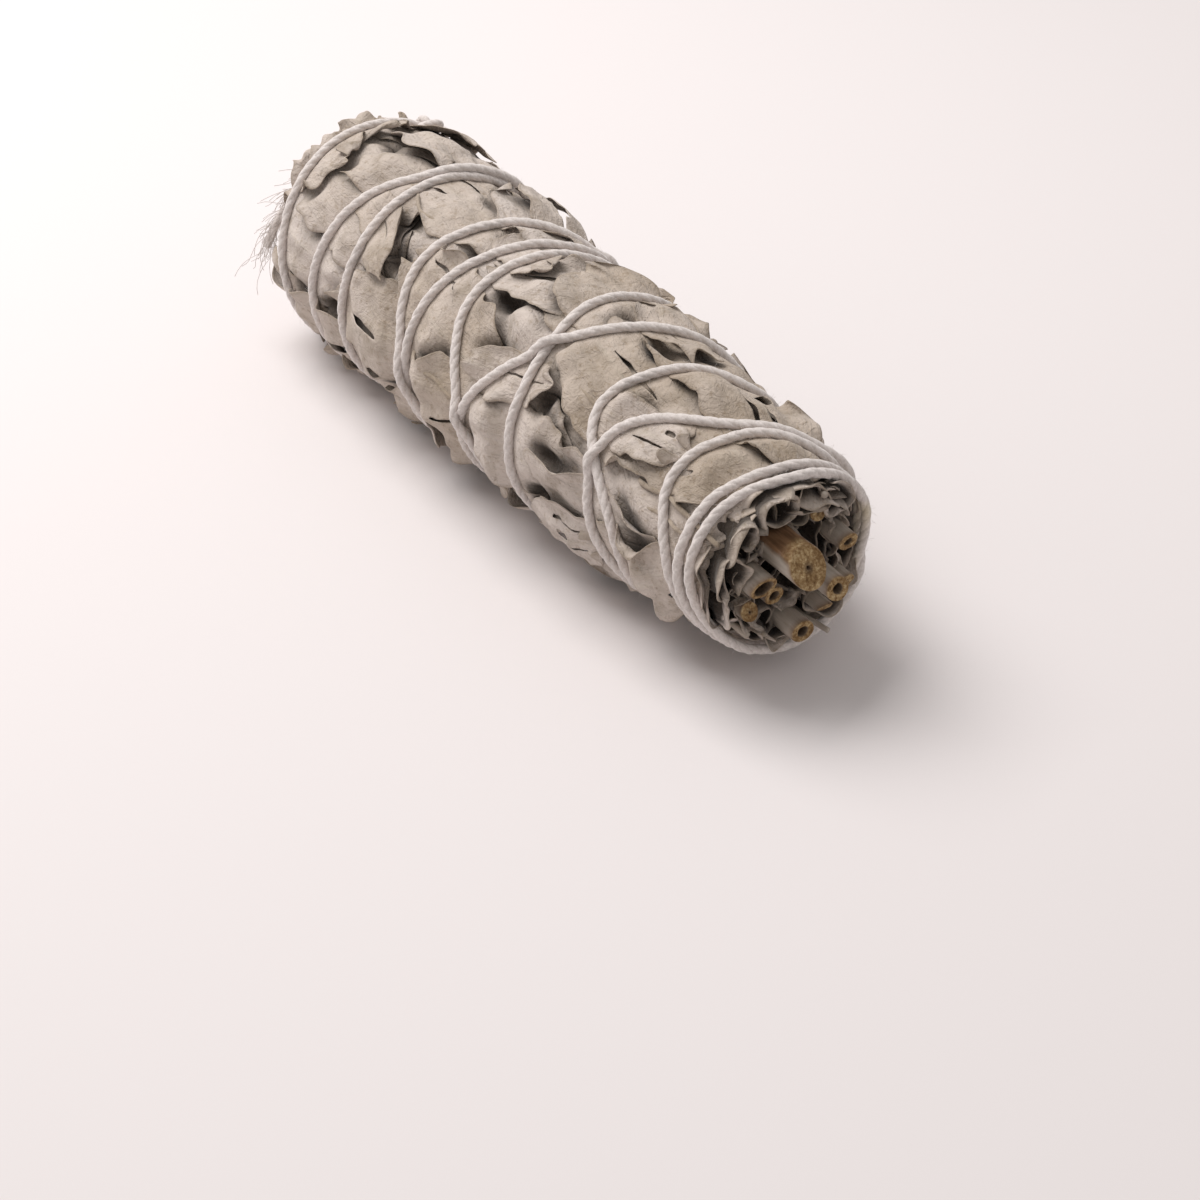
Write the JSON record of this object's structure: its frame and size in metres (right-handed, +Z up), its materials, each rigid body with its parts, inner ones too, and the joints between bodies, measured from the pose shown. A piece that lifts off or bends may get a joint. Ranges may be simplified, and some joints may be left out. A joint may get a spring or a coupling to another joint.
{
  "type": "bundle of dried sage",
  "caption": "Dried white sage leaves and stems laid together lengthwise and bound into a fat stick by a crisscross winding of cotton twine, lying on its side.",
  "frame": {"origin": "under the middle of the bundle, on the surface that it lies on, without the loose end of its twine", "axes": "+X along the bundle towards its cut stems, +Z up from the surface that it lies on"},
  "size_m": [0.2068, 0.0574, 0.0553],
  "materials": {
    "leaf": "dry, felted, matt grey-beige sage leaf",
    "stem": "dry woody stem, grey-beige skin, ochre cut ends",
    "twine": "soft undyed cotton twine, matt"
  },
  "bodies": {
    "root": {"outer_leaf_01": "leaf", "outer_leaf_02": "leaf", "outer_leaf_03": "leaf", "outer_leaf_04": "leaf", "outer_leaf_05": "leaf", "outer_leaf_06": "leaf", "outer_leaf_07": "leaf", "outer_leaf_08": "leaf", "outer_leaf_09": "leaf", "outer_leaf_10": "leaf", "outer_leaf_11": "leaf", "outer_leaf_12": "leaf", "outer_leaf_13": "leaf", "outer_leaf_14": "leaf", "outer_leaf_15": "leaf", "outer_leaf_16": "leaf", "outer_leaf_17": "leaf", "outer_leaf_18": "leaf", "outer_leaf_19": "leaf", "outer_leaf_20": "leaf", "outer_leaf_21": "leaf", "outer_leaf_22": "leaf", "outer_leaf_23": "leaf", "outer_leaf_24": "leaf", "outer_leaf_25": "leaf", "outer_leaf_26": "leaf", "outer_leaf_27": "leaf", "outer_leaf_28": "leaf", "outer_leaf_29": "leaf", "outer_leaf_30": "leaf", "inner_leaf_01": "leaf", "inner_leaf_02": "leaf", "inner_leaf_03": "leaf", "inner_leaf_04": "leaf", "inner_leaf_05": "leaf", "inner_leaf_06": "leaf", "inner_leaf_07": "leaf", "inner_leaf_08": "leaf", "inner_leaf_09": "leaf", "inner_leaf_10": "leaf", "stem_01": "stem", "stem_02": "stem", "stem_03": "stem", "stem_04": "stem", "stem_05": "stem", "stem_06": "stem", "stem_07": "stem", "stem_08": "stem", "stem_09": "stem", "stem_10": "stem", "twine_wrap": "twine", "twine_knot": "twine", "twine_tail": "twine"}
  },
  "joints": []
}
